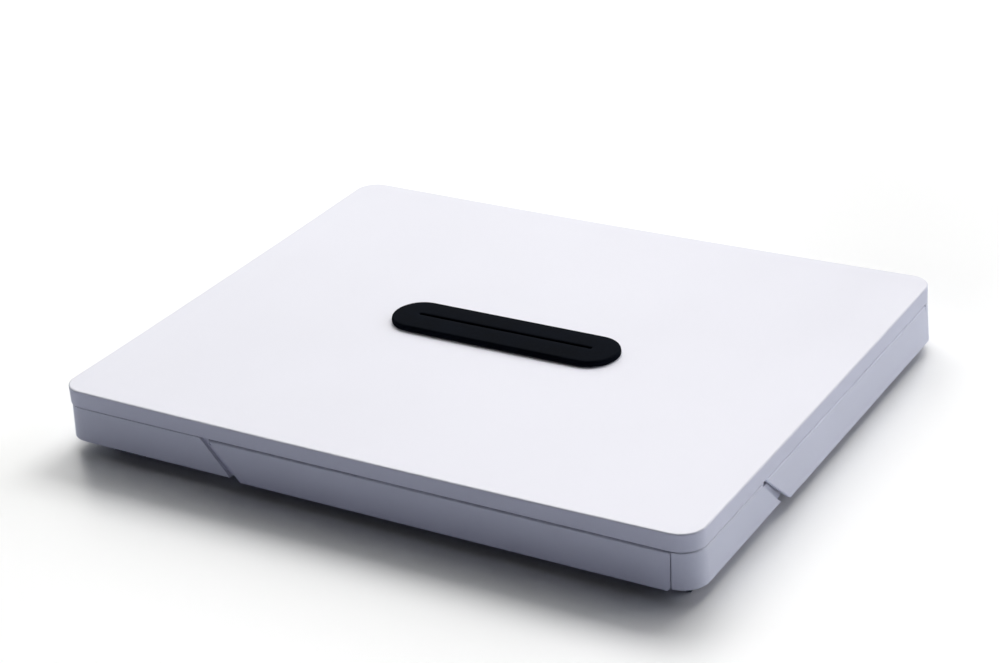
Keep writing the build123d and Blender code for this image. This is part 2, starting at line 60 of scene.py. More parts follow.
# ---------------------------------------------------------------- node helpers
class Mat:
    """A material under construction, with short names for its nodes."""

    def __init__(self, name, color, rough, **sockets):
        self.m = bpy.data.materials.new(name)
        self.m.use_nodes = True
        self.nt = self.m.node_tree
        self.nt.nodes.clear()
        self.out = self.nt.nodes.new("ShaderNodeOutputMaterial")
        self.b = self.nt.nodes.new("ShaderNodeBsdfPrincipled")
        self.nt.links.new(self.b.outputs[0], self.out.inputs[0])
        self.b.inputs["Base Color"].default_value = (*color, 1)
        self.b.inputs["Roughness"].default_value = rough
        for k, v in sockets.items():
            self.b.inputs[k.replace("_", " ")].default_value = v
        self.co = self.nt.nodes.new("ShaderNodeTexCoord")

    def noise(self, scale, detail=3.0, rough=0.5, dist=0.0, vec=None):
        n = self.nt.nodes.new("ShaderNodeTexNoise")
        n.inputs["Scale"].default_value = scale
        n.inputs["Detail"].default_value = detail
        n.inputs["Roughness"].default_value = rough
        n.inputs["Distortion"].default_value = dist
        self.nt.links.new(vec if vec is not None else self.co.outputs["Object"], n.inputs["Vector"])
        return n.outputs["Fac"]

    def voronoi(self, scale, feature="F1"):
        n = self.nt.nodes.new("ShaderNodeTexVoronoi")
        n.feature = feature
        n.inputs["Scale"].default_value = scale
        self.nt.links.new(self.co.outputs["Object"], n.inputs["Vector"])
        return n.outputs["Distance"]

    def ramp(self, fac, stops):
        n = self.nt.nodes.new("ShaderNodeValToRGB")
        e = n.color_ramp.elements
        while len(e) < len(stops):
            e.new(0.5)
        for i, (p, c) in enumerate(stops):
            e[i].position = p
            e[i].color = (*c, 1) if len(c) == 3 else c
        self.nt.links.new(fac, n.inputs[0])
        return n.outputs[0]

    def maprange(self, fac, a, b, lo, hi):
        n = self.nt.nodes.new("ShaderNodeMapRange")
        n.inputs[1].default_value, n.inputs[2].default_value = a, b
        n.inputs[3].default_value, n.inputs[4].default_value = lo, hi
        self.nt.links.new(fac, n.inputs[0])
        return n.outputs[0]

    def math(self, op, a, b):
        n = self.nt.nodes.new("ShaderNodeMath")
        n.operation = op
        for i, v in enumerate((a, b)):
            if isinstance(v, (int, float)):
                n.inputs[i].default_value = v
            else:
                self.nt.links.new(v, n.inputs[i])
        return n.outputs[0]

    def mix(self, fac, a, b, blend="MIX"):
        n = self.nt.nodes.new("ShaderNodeMix")
        n.data_type = "RGBA"
        n.blend_type = blend
        for s, v in ((n.inputs[0], fac), (n.inputs[6], a), (n.inputs[7], b)):
            if isinstance(v, (int, float)):
                s.default_value = v
            elif isinstance(v, tuple):
                s.default_value = (*v, 1) if len(v) == 3 else v
            else:
                self.nt.links.new(v, s)
        return n.outputs[2]

    def bump(self, height, strength, distance, normal=None):
        n = self.nt.nodes.new("ShaderNodeBump")
        n.inputs["Strength"].default_value = strength
        n.inputs["Distance"].default_value = distance
        self.nt.links.new(height, n.inputs["Height"])
        if normal is not None:
            self.nt.links.new(normal, n.inputs["Normal"])
        self.nt.links.new(n.outputs[0], self.b.inputs["Normal"])
        return n.outputs[0]

    def to(self, socket, out):
        self.nt.links.new(out, self.b.inputs[socket])


# ---------------------------------------------------------------- materials
def moulded_white(name, tint=(0.79, 0.795, 0.865), rough=0.40, grain=1.0, spec=0.45):
    m = Mat(name, tint, rough, Specular_IOR_Level=spec)
    big = m.noise(9.0, 2.0)
    c0 = tuple(v * 0.985 for v in tint)
    c1 = tuple(min(1.0, v * 1.012) for v in tint)
    m.to("Base Color", m.ramp(big, [(0.3, c0), (0.7, c1)]))
    fine = m.noise(2600.0, 2.0, 0.6)
    wave = m.noise(35.0, 2.0)
    m.to("Roughness", m.maprange(m.math("ADD", m.math("MULTIPLY", fine, 0.5), m.math("MULTIPLY", wave, 0.5)), 0.3, 0.7, rough - 0.05, rough + 0.07))
    m.bump(fine, 0.02 * grain, 0.0001)
    return m.m


WHITE = moulded_white("white_plastic", (0.801, 0.801, 0.876), spec=0.32)
def flap_white_painted_light():
    """The white plastic, made a little brighter to lighten the flaps' shaded faces, with a painted highlight in paler
    blue-white along the rolled top edge.
    """
    # about 1.5 % brighter than white_plastic: painted light on the flaps' shaded faces
    tint = (0.813, 0.817, 0.889)
    m = Mat("white_plastic_flaps_painted_light", tint, 0.42, Specular_IOR_Level=0.45)
    a = m.nt.nodes.new("ShaderNodeAttribute")
    a.attribute_name = "rim"
    big = m.ramp(m.noise(9.0, 2.0), [(0.3, tuple(v * 0.985 for v in tint)), (0.7, tuple(v * 1.012 for v in tint))])
    # painted highlight: the rim weight mixes a paler blue-white into the colour along the rolled top edge
    m.to("Base Color", m.mix(a.outputs["Fac"], big, (0.88, 0.90, 1.0)))
    fine = m.noise(2600.0, 2.0, 0.6)
    wave = m.noise(35.0, 2.0)
    m.to("Roughness", m.maprange(m.math("ADD", m.math("MULTIPLY", fine, 0.5), m.math("MULTIPLY", wave, 0.5)), 0.3, 0.7, 0.37, 0.49))
    m.bump(fine, 0.02, 0.0001)
    return m.m


WHITE_FLAP_PAINTED_LIGHT = flap_white_painted_light()
WHITE_BASE = moulded_white("white_plastic_base", (0.78, 0.785, 0.855), 0.44)
RACK = moulded_white("rack_plastic", (0.765, 0.77, 0.82), 0.46, 1.4)


def rubber(name, color, rough, grain_scale, grain, spec=0.28):
    m = Mat(name, color, rough, Specular_IOR_Level=spec)
    dust = m.noise(60.0, 4.0, 0.6)
    m.to("Base Color", m.ramp(dust, [(0.35, color), (0.75, tuple(v * 1.7 + 0.002 for v in color))]))
    fine = m.noise(grain_scale, 3.0, 0.65)
    cell = m.voronoi(grain_scale * 0.55)
    m.to("Roughness", m.maprange(dust, 0.3, 0.7, rough - 0.06, rough + 0.08))
    m.bump(m.math("ADD", fine, m.math("MULTIPLY", cell, 0.6)), grain, 0.00018)
    return m.m


GRIP = rubber("grip_rubber", (0.0026, 0.0038, 0.0068), 0.80, 1500.0, 0.35, 0.02)
FOOT = rubber("foot_rubber", (0.040, 0.043, 0.052), 0.66, 900.0, 0.4)


def foam():
    m = Mat("seal_foam", (0.66, 0.67, 0.69), 0.85, Specular_IOR_Level=0.2)
    cell = m.voronoi(1900.0)
    m.to("Base Color", m.ramp(cell, [(0.0, (0.46, 0.47, 0.49)), (0.5, (0.68, 0.69, 0.71))]))
    m.bump(cell, 0.5, 0.0003)
    return m.m


SEAL = foam()


def dark_plastic():
    m = Mat("inner_plastic", (0.045, 0.046, 0.05), 0.5)
    fine = m.noise(1800.0, 2.0)
    m.to("Roughness", m.maprange(fine, 0.3, 0.7, 0.42, 0.58))
    m.bump(fine, 0.15, 0.0001)
    return m.m


INNER = dark_plastic()


def steel():
    m = Mat("steel", (0.56, 0.56, 0.57), 0.3, Metallic=1.0)
    sc = m.nt.nodes.new("ShaderNodeMapping")
    sc.inputs["Scale"].default_value = (1.0, 1.0, 14.0)
    m.nt.links.new(m.co.outputs["Object"], sc.inputs["Vector"])
    f = m.noise(900.0, 3.0, 0.6, 0.0, sc.outputs[0])
    m.to("Base Color", m.ramp(f, [(0.3, (0.50, 0.50, 0.51)), (0.7, (0.62, 0.62, 0.63))]))
    m.to("Roughness", m.maprange(f, 0.3, 0.7, 0.22, 0.38))
    m.bump(f, 0.1, 0.00006)
    return m.m


STEEL = steel()


def cup_plastic():
    m = Mat("cup_plastic", (0.88, 0.90, 0.92), 0.28, IOR=1.49, Transmission_Weight=0.35, Specular_IOR_Level=0.5)
    f = m.noise(260.0, 2.0)
    m.to("Base Color", m.mix(m.maprange(f, 0.3, 0.7, 0.0, 1.0), (0.86, 0.88, 0.90), (0.91, 0.925, 0.94)))
    m.to("Roughness", m.maprange(f, 0.3, 0.7, 0.26, 0.38))
    m.bump(m.noise(420.0, 1.0), 0.08, 0.0002)
    return m.m


CUP = cup_plastic()


def gouache():
    m = Mat("gouache", (0.5, 0.5, 0.5), 0.32, Specular_IOR_Level=0.5)
    a = m.nt.nodes.new("ShaderNodeAttribute")
    a.attribute_name = "pcol"
    streak = m.noise(170.0, 4.0, 0.6, 1.4)
    dark = m.mix(1.0, a.outputs["Color"], (0.82, 0.82, 0.82), "MULTIPLY")
    m.to("Base Color", m.mix(m.maprange(streak, 0.35, 0.65, 0.0, 1.0), dark, a.outputs["Color"]))
    m.to("Roughness", m.maprange(m.noise(120.0, 3.0), 0.3, 0.7, 0.2, 0.5))
    m.bump(m.math("ADD", streak, m.math("MULTIPLY", m.noise(900.0, 2.0), 0.3)), 0.35, 0.0004)
    return m.m


PAINT = gouache()


# ---------------------------------------------------------------- mesh helpers
def new_object(name, bm, mat, body, replaces=(), smooth_angle=32.0, bevel=None):
    bmesh.ops.remove_doubles(bm, verts=bm.verts, dist=1e-7)
    bmesh.ops.recalc_face_normals(bm, faces=bm.faces)
    me = bpy.data.meshes.new(name)
    bm.to_mesh(me)
    bm.free()
    ob = bpy.data.objects.new(name, me)
    bpy.context.scene.collection.objects.link(ob)
    me.materials.append(mat)
    me.shade_smooth()
    me.set_sharp_from_angle(angle=math.radians(smooth_angle))
    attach(ob, body)
    if replaces:
        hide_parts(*replaces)
    return ob


def rrect(w, d, r, n=8, ns=10, cx=0.0, cy=0.0):
    """Rounded rectangle, counter-clockwise, n segments a corner, ns a side."""
    hx, hy = w / 2 - r, d / 2 - r
    pts = []
    corners = ((hx, -hy, -90), (hx, hy, 0), (-hx, hy, 90), (-hx, -hy, 180))
    for i, (x, y, a0) in enumerate(corners):
        arc = [(x + r * math.cos(math.radians(a0 + 90 * k / n)), y + r * math.sin(math.radians(a0 + 90 * k / n))) for k in range(n + 1)]
        pts += arc
        nx, ny, na = corners[(i + 1) % 4]
        q = (nx + r * math.cos(math.radians(na)), ny + r * math.sin(math.radians(na)))
        p = arc[-1]
        pts += [(p[0] + (q[0] - p[0]) * k / ns, p[1] + (q[1] - p[1]) * k / ns) for k in range(1, ns)]
    return [(x + cx, y + cy) for x, y in pts]


def stadium(L, W, n=18, ns=14, cx=0.0, cy=0.0):
    r = W / 2
    h = L / 2 - r
    pts = []
    for s, a0 in ((1, -90), (-1, 90)):
        pts += [(s * h + r * math.cos(math.radians(a0 + 180 * k / n)), r * math.sin(math.radians(a0 + 180 * k / n))) for k in range(n + 1)]
        y = s * r
        pts += [(s * h - 2 * s * h * k / ns, y) for k in range(1, ns)]
    return [(x + cx, y + cy) for x, y in pts]


def loft(bm, rings, close_ends=True, closed=False):
    """Faces between rings of equal point counts; rings are lists of (x, y, z) in mm."""
    vr = [[bm.verts.new((x * MM, y * MM, z * MM)) for x, y, z in r] for r in rings]
    n = len(vr[0])
    pairs = list(zip(vr[:-1], vr[1:])) + ([(vr[-1], vr[0])] if closed else [])
    for a, b in pairs:
        for i in range(n):
            j = (i + 1) % n
            bm.faces.new((a[i], a[j], b[j], b[i]))
    if close_ends and not closed:
        bm.faces.new(list(reversed(vr[0])))
        bm.faces.new(vr[-1])
    return vr


def dish(x, y, base):
    return base + (x * x + y * y) / (2 * DISH_R)


def cylinder(bm, x, y, z0, z1, r, n=32):
    ring = lambda rr, z: [(x + rr * math.cos(2 * math.pi * k / n), y + rr * math.sin(2 * math.pi * k / n), z) for k in range(n)]
    c = min(0.2, r * 0.2)
    loft(bm, [ring(r - c, z0), ring(r, z0 + c), ring(r, z1 - c), ring(r - c, z1)])


# ---------------------------------------------------------------- handle grip
def build_grip():
    bm = bmesh.new()
    cx, cy = HANDLE_X, HANDLE_Y
    rings = []

    def ring(inset, z):
        L, W = PAD_L - 2 * inset, PAD_W - 2 * inset
        return [(x, y, z) for x, y in stadium(L, W, cx=cx, cy=cy)]

    core = lambda z: [(x, y, z) for x, y in stadium(PAD_L - 12, PAD_W - 12, cx=cx, cy=cy)]
    rings += [core(Z_PAD + CORE_T), core(Z_PAD)]
    rings += [ring(0.5, Z_PAD), ring(0.12, Z_PAD + 0.12), ring(0.0, Z_PAD + 0.5), ring(0.05, Z_PAD + 1.4)]
    R = 1.5
    for k in range(0, 9):
        a = math.radians(90 * k / 8)
        rings.append(ring(0.1 + R * (1 - math.cos(a)), Z_PAD + PAD_H - 0.25 - R + R * math.sin(a)))
    for inset, up in ((2.6, 0.06), (4.5, 0.14), (8.0, 0.22), (12.0, 0.25), (15.2, 0.25)):
        rings.append(ring(inset, Z_PAD + PAD_H - 0.25 + up))
    zt = Z_PAD + PAD_H
    for grow, z in ((1.1, zt - 0.02), (0.35, zt - 0.18), (0.05, zt - 0.5), (0.0, zt - SLIT_D + 0.2), (-0.3, zt - SLIT_D)):
        L, W = SLIT_L + 2 * grow, SLIT_W + 2 * grow
        rings.append([(x, y, z) for x, y in stadium(L, W, cx=cx, cy=cy)])
    loft(bm, rings)
    return new_object("handle_grip_rubber", bm, GRIP, "handle", ["handle_grip"], 50)


build_grip()


# ---------------------------------------------------------------- flaps, base, lid: shared section data
SKIRT_LOW = Z_SKIRT
PART_GAP = 0.35
Z_PART = Z_SKIRT - PART_GAP
BARREL_R, PIN_R, FLAP_T, Z_FLAP, Z_BASE = 2.0, 0.75, 1.8, 6.0, 7.9
Z_HINGE = Z_PART - BARREL_R
INSET, FLARE_ALL = 0.6, 1.0
HX_TOP, HY_TOP = LID_W / 2 - INSET, LID_D / 2 - INSET
DROP = Z_HINGE - Z_FLAP
FLARE = FLARE_ALL * DROP / (Z_PART - Z_BASE)
Z_NOTCH = 28.0
FRONT = dict(dist=HY_TOP - BARREL_R, notch=-98.9, square=190.0, gap=5.1, slope=0.89, lugs=(-70, 10, 90, 170), catches=(-30, 50, 130))
SIDE = dict(dist=HX_TOP - BARREL_R, notch=-77.8, square=148.5, gap=6.3, slope=1.03, lugs=(-48, 26, 100), catches=(-11, 63))
SIDES = dict(front=(FRONT, 0), right=(SIDE, 90), back=(FRONT, 180), left=(SIDE, 270))
AJAR = {"right": 5.3}


def slant(side, z, extra=0.0):
    return side["notch"] + extra + side["slope"] * (Z_NOTCH - z)


def flap_point(side, angle, x, u, w, ajar=0.0):
    """(x along the side, u outward, w up from the hinge line) to the frame, mm."""
    if ajar:
        c, s_ = math.cos(math.radians(ajar)), math.sin(math.radians(ajar))
        u, w = u * c - w * s_, u * s_ + w * c
    px, py, pz = x, -side["dist"] - u, Z_HINGE + w
    a = math.radians(angle)
    return (px * math.cos(a) - py * math.sin(a) + BX, px * math.sin(a) + py * math.cos(a) + BY, pz)


def prism(bm, pts_fn, section, x0, x1):
    """Extrudes a (u, w) section along the side from x0 to x1."""
    a = [bm.verts.new([v * MM for v in pts_fn(x0, u, w)]) for u, w in section]
    b = [bm.verts.new([v * MM for v in pts_fn(x1, u, w)]) for u, w in section]
    n = len(section)
    for i in range(n):
        j = (i + 1) % n
        bm.faces.new((a[i], a[j], b[j], b[i]))
    bm.faces.new(list(reversed(a)))
    bm.faces.new(b)


def arc(r, a0, a1, n, cu=0.0, cw=0.0):
    return [(cu + r * math.cos(math.radians(a0 + (a1 - a0) * k / n)), cw + r * math.sin(math.radians(a0 + (a1 - a0) * k / n))) for k in range(n + 1)]


def finish_piece(bm, name, mat, body, replaces, smooth=28.0):
    """Makes the object from closed shells, each with its normals outwards."""
    bmesh.ops.recalc_face_normals(bm, faces=bm.faces)
    me = bpy.data.meshes.new(name)
    bm.to_mesh(me)
    bm.free()
    ob = bpy.data.objects.new(name, me)
    bpy.context.scene.collection.objects.link(ob)
    me.materials.append(mat)
    me.shade_smooth()
    me.set_sharp_from_angle(angle=math.radians(smooth))
    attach(ob, body)
    if replaces:
        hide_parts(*replaces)
    return ob


def corner_ends(side, h, x1, R=3.0, z_low=None):
    """Left and right end of a flap at height h above its bottom edge."""
    lo, hi = slant(side, Z_FLAP + h), x1
    if h < R:
        hi = x1 - R + math.sqrt(max(0.0, R * R - (R - h) ** 2))
    L = math.hypot(side["slope"], 1.0)
    ia = math.acos(-side["slope"] / L)
    t = R / math.tan(ia / 2)
    if h < t / L:
        lo = slant(side, Z_FLAP) + t - math.sqrt(max(0.0, R * R - (R - h) ** 2))
    return lo, hi


def build_flap(name):
    side, angle = SIDES[name]
    ajar = AJAR.get(name, 0.0)
    P = lambda x, u, w: flap_point(side, angle, x, u, w, ajar)
    x1 = side["square"] + (0.55 if side is SIDE else 0.0)
    r0 = 0.4
    half = 4.0 / 2 + 0.4
    deg = lambda a, r: (r * math.cos(math.radians(a)), r * math.sin(math.radians(a)))
    hs = [DROP * k / 8 for k in range(8, 0, -1)] + [2.6, 2.2, 1.8, 1.4, 1.0, 0.7]
    hs = sorted(set(hs), reverse=True)
    fl = lambda h: BARREL_R + FLARE * (1 - h / DROP)

    def section(d, relief):
        """(u, w, end height) round the plate; d pulls the outside in."""
        out = [(fl(h) - d, h - DROP, h) for h in hs]
        for k in range(0, 5):
            a = math.radians(90 * k / 4)
            out.append((fl(0) - d - r0 * (1 - math.cos(a)), -DROP + r0 * (1 - math.sin(a)), r0 * (1 - math.sin(a))))
        ins = []
        for k in range(4, -1, -1):
            a = math.radians(90 * k / 4)
            ins.append((fl(0) - FLAP_T + 0.3 * (1 - math.cos(a)), -DROP + 0.3 * (1 - math.sin(a)), 0.3 * (1 - math.sin(a))))
        for h in reversed(hs[1:]):
            if h - DROP < -1.75:
                ins.append((fl(h) - FLAP_T, h - DROP, h))
        ui = fl(DROP - 1.7) - FLAP_T
        if relief:
            head = [(ui, -1.7), (ui, -1.6), (0.5, -1.6), (0.5, -1.3), deg(-45, 1.4), deg(0, 1.4), deg(30, 1.4), deg(50, 1.4), (0.5, 1.3), (0.5, 1.5)]
        else:
            head = [(ui, -1.7), (ui, -1.6), (0.21, -1.2), (0.2, -0.8), (0.2, -0.4), (0.2, 0.0), (0.2, 0.5), (0.2, 1.0), (0.2, 1.3), (0.2, 1.45 - d)]
        head = [(u, w, DROP + w) for u, w in head]
        rim = [(0.62, 1.60), (0.9, 1.62), (1.15, 1.61), (1.33, 1.55), (1.52, 1.40), (1.80, 1.12), (1.95, 0.93), (2.0, 0.72)]
        top = [(u - d, w - d, DROP + w - d) for u, w in rim]
        return out, ins, head, top

    # columns: offset from the left or right end, or a fixed x
    ease = [(0.0, r0 * 0.85), (0.04, r0 * 0.5), (0.12, r0 * 0.24), (0.24, r0 * 0.07), (0.42, 0.0)]
    cols = [("lo", o, d, False) for o, d in ease] + [("lo", 1.2, 0.0, False), ("lo", 3.0, 0.0, False)]
    xs = []
    for x in side["lugs"]:
        xs += [(x - half - 0.01, False), (x - half + 0.01, True), (x + half - 0.01, True), (x + half + 0.01, False)]
    last = side["lugs"][0] - half
    marks = [m for m in xs]
    fixed = []
    prev = None
    for x, rel in marks:
        if prev is not None and x - prev > 12:
            k = int((x - prev) // 12)
            fixed += [(prev + (x - prev) * i / (k + 1), False) for i in range(1, k + 1)]
        fixed.append((x, rel))
        prev = x
    k = int((x1 - 4 - prev) // 8)
    fixed += [(prev + (x1 - 4 - prev) * i / max(1, k), False) for i in range(1, max(1, k) + 1)]
    cols += [("x", x, 0.0, rel) for x, rel in fixed]
    k = 0.55 if side is SIDE else 1.0
    cols += [("hi", o * k, d * k, False) for o, d in reversed(ease)]
    bm = bmesh.new()
    painted_highlight_layer = bm.verts.layers.float.new("rim")
    grid = []
    for kind, v, d, rel in cols:
        out, ins, head, top = section(d, rel)
        loop = []
        for u, w, h in out + ins + head + top:
            lo, hi = corner_ends(side, max(0.0, h), x1)
            x = lo + v if kind == "lo" else (hi - v if kind == "hi" else v)
            vert = bm.verts.new([c * MM for c in P(x, u, w)])
            # weight 1 on the side flaps' rolled top edge, where their material paints a highlight
            vert[painted_highlight_layer] = 1.0 if (side is SIDE and w > 0.9 - d and u > 1.4 - d and u < 1.97) else 0.0
            loop.append(vert)
        grid.append(loop)
    no, ni, nh, nt = len(out), len(ins), len(head), len(top)
    m = no + ni + nh + nt
    for A, B in zip(grid[:-1], grid[1:]):
        for i in range(m):
            j = (i + 1) % m
            bm.faces.new((A[i], A[j], B[j], B[i]))
    for loop in (grid[0], grid[-1]):
        bm.faces.new(loop)
    # barrels and snap beads as closed shells that run into the plate
    for x in side["lugs"]:
        for s0 in (x - half - 5.0, x + half):
            ring = lambda r, xx: [bm.verts.new([c * MM for c in P(xx, *deg(a * 12.0, r))]) for a in range(30)]
            bore = PIN_R + 0.05
            loops = [ring(bore, s0 + 0.05), ring(bore + 0.15, s0), ring(1.45, s0), ring(1.6, s0 + 0.15),
                     ring(1.6, s0 + 4.85), ring(1.45, s0 + 5.0), ring(bore + 0.15, s0 + 5.0), ring(bore, s0 + 4.95)]
            for A, B in zip(loops, loops[1:] + loops[:1]):
                for i in range(30):
                    j = (i + 1) % 30
                    bm.faces.new((A[i], A[j], B[j], B[i]))
    for x in side["catches"]:
        u = BARREL_R - FLAP_T + FLARE * 16 / DROP
        prism(bm, P, [(u + 0.5, -14.9), (u - 0.05, -15.0), (0.20, -15.7), (0.10, -15.95), (0.11, -16.3), (0.25, -16.6), (u, -17.4), (u + 0.5, -17.5)], x - 15, x + 15)
    # low ribs along the inside stiffen the panel
    for w0 in (-6.0, -10.2):
        ub = lambda w: BARREL_R - FLAP_T + FLARE * (-w) / DROP
        a0 = slant(side, Z_HINGE + w0) + 6.0
        prism(bm, P, [(ub(w0) + 0.4, w0 - 0.5), (ub(w0) - 0.25, w0 - 0.4), (ub(w0) - 0.25, w0 + 0.4), (ub(w0) + 0.4, w0 + 0.5)], a0, x1 - 5.0)
    return finish_piece(bm, name + "_flap_panel", WHITE_FLAP_PAINTED_LIGHT, name + "_flap", [name + "_lock_flap"])


for side_name in SIDES:
    build_flap(side_name)


# ---------------------------------------------------------------- finger notches and the blocks' lip
def plate(bm, P, outline, u0, u1, c=0.12):
    """A thin plate from (x, w) points, its outer edges rounded over."""
    cx = sum(p[0] for p in outline) / len(outline)
    cw = sum(p[1] for p in outline) / len(outline)
    pull = lambda x, w, k: (x + (cx - x) * k, w + (cw - w) * k)
    rings = []
    for u, k in ((u0, 0.0), (u1 - c, 0.0), (u1 - c * 0.3, 0.004), (u1, 0.012)):
        rings.append([P(pull(x, w, k)[0], u, pull(x, w, k)[1]) for x, w in outline])
    loft(bm, rings)


def build_notches():
    bm = bmesh.new()
    for name, (side, angle) in SIDES.items():
        P = lambda x, u, w, side=side, angle=angle: flap_point(side, angle, x, u, w, 0.0)
        sl = lambda w, e: slant(side, Z_HINGE + w, e)
        gap = side["gap"]
        lo = Z_BASE + 0.25 - Z_HINGE
        # floor of the notch, in front of the block's own wall
        plate(bm, P, [(sl(1.9, -gap - 0.3), 1.9), (sl(lo, -gap - 0.3), lo), (sl(lo, -0.5), lo), (sl(-2.4, -0.5), -2.4),
                      (side["notch"] - 1.3, -2.3), (side["notch"] - 1.3, 1.9)], -0.75, 0.10)
        # lower step that runs on under the flap's end
        plate(bm, P, [(sl(-2.5, -gap - 0.3), -2.5), (sl(lo, -gap - 0.3), lo), (sl(lo, 4.0), lo), (sl(-2.5, 4.0), -2.5)], -1.6, -0.62)
    return finish_piece(bm, "notch_floors", WHITE_BASE, "base", [], 35)


def build_lips():
    """A low lip on top of each corner block that guides the lid's edge."""
    bm = bmesh.new()
    hx, hy = HX_TOP - 0.42, HY_TOP - 0.42
    pts = rrect(2 * hx, 2 * hy, 13.0, 12, 160)

    def free(x, y):
        for side, angle in SIDES.values():
            a = math.radians(-angle)
            lx, ly = x * math.cos(a) - y * math.sin(a), x * math.sin(a) + y * math.cos(a)
            if ly < -side["dist"] and slant(side, Z_PART, -side["gap"] - 0.4) < lx < side["square"] + 1.2:
                return False
        return True

    runs, run = [], []
    start = next(i for i in range(len(pts)) if not free(*pts[i]))
    for i in range(start, start + len(pts) + 1):
        q = pts[i % len(pts)]
        if free(*q):
            run.append(q)
        elif run:
            runs.append(run)
            run = []
    for run in runs:
        if len(run) < 3:
            continue
        rings = []
        for i, (x, y) in enumerate(run):
            ax, ay = run[max(0, i - 1)]
            bx_, by_ = run[min(len(run) - 1, i + 1)]
            t = math.hypot(bx_ - ax, by_ - ay)
            nx, ny = (by_ - ay) / t, -(bx_ - ax) / t
            rings.append([(x - nx * o + BX, y - ny * o + BY, z) for o, z in ((0.0, 28.5), (0.0, 28.98), (0.12, 29.1), (0.9, 29.1), (1.0, 28.98), (1.0, 28.5))])
        loft(bm, rings)
    return finish_piece(bm, "block_lips", WHITE_BASE, "base", [], 35)


build_notches()
build_lips()


# ---------------------------------------------------------------- rubber feet
FEET = [(-166.5, -152.9, 32.0, 8.0), (166.5, 152.9, 32.0, 8.0), (194.0, -140.9, 8.0, 32.0), (-194.0, 140.9, 8.0, 32.0)]


def foot_studs(x, y, lx, ly):
    if lx > ly:
        v = math.copysign(152.4, y)
        return [(x - 9, v), (x + 9, v)]
    v = math.copysign(193.5, x)
    return [(v, y - 9), (v, y + 9)]


def build_feet():
    bm = bmesh.new()
    for x, y, lx, ly in FEET:
        def ring(inset, z):
            ex, ey = (1.9, 1.0) if lx > ly else (1.0, 1.9)
            return [(px + BX, py + BY, z) for px, py in rrect(lx - 2 * inset * ex, ly - 2 * inset * ey, max(0.3, 2.5 - inset), 6, 8, x, y)]
        # a shallow dished sole inside a rolled edge, and a small flange under the seat
        rings = [ring(3.6, 0.4), ring(3.3, 0.35), ring(3.05, 0.08), ring(2.8, 0.0), ring(2.55, 0.1), ring(2.35, 0.4), ring(2.2, 1.0),
                 ring(1.45, 3.6), ring(0.8, 5.6), ring(0.3, 6.6), ring(0.0, 7.4), ring(0.15, Z_BASE - 0.1), ring(0.4, Z_BASE)]
        loft(bm, rings)
        for sx, sy in foot_studs(x, y, lx, ly):
            c = lambda r, z: [(sx + BX + r * math.cos(2 * math.pi * k / 24), sy + BY + r * math.sin(2 * math.pi * k / 24), z) for k in range(24)]
            loft(bm, [c(1.25, Z_BASE - 0.6), c(1.25, Z_BASE + 1.9), c(1.1, Z_BASE + 2.2), c(0.8, Z_BASE + 2.4)])
        # grip ribs across the sole
        for k in range(-3, 4):
            t = k * 2.8
            w, d = (0.9, ly - 6.8) if lx > ly else (lx - 6.8, 0.9)
            cx, cy = (x + t, y) if lx > ly else (x, y + t)
            r = lambda inset, z: [(px + BX, py + BY, z) for px, py in rrect(w - 2 * inset, d - 2 * inset, 0.2, 3, 2, cx, cy)]
            loft(bm, [r(0.15, 0.02), r(0.0, 0.15), r(0.0, 0.6)])
    return finish_piece(bm, "foot_pads", FOOT, "base", ["rubber_feet"], 40)


build_feet()


# ---------------------------------------------------------------- foam seal under the lid
def build_seal():
    bm = bmesh.new()
    WXI, WYI = 199.0, 158.0

    def ring(half_extra, z, low=True):
        w, d, r = 2 * WXI + half_extra, 2 * WYI + half_extra, 8.5 + half_extra / 2
        pts = rrect(w, d, r, 8, 60, BX, BY)
        if low:
            return [(x, y, z) for x, y in pts]
        return [(x, y, dish(x, y, Z_UNDER) + z) for x, y in pts]

    rings = [ring(0.6, -0.02, False), ring(0.6, 35.2), ring(0.45, 34.85), ring(-0.1, 34.65), ring(-2.2, 34.62), ring(-4.3, 34.65),
             ring(-4.85, 34.85), ring(-5.0, 35.2), ring(-5.0, -0.02, False)]
    loft(bm, rings, close_ends=False, closed=True)
    return finish_piece(bm, "seal_strip", SEAL, "lid", ["lid_seal"], 40)


build_seal()


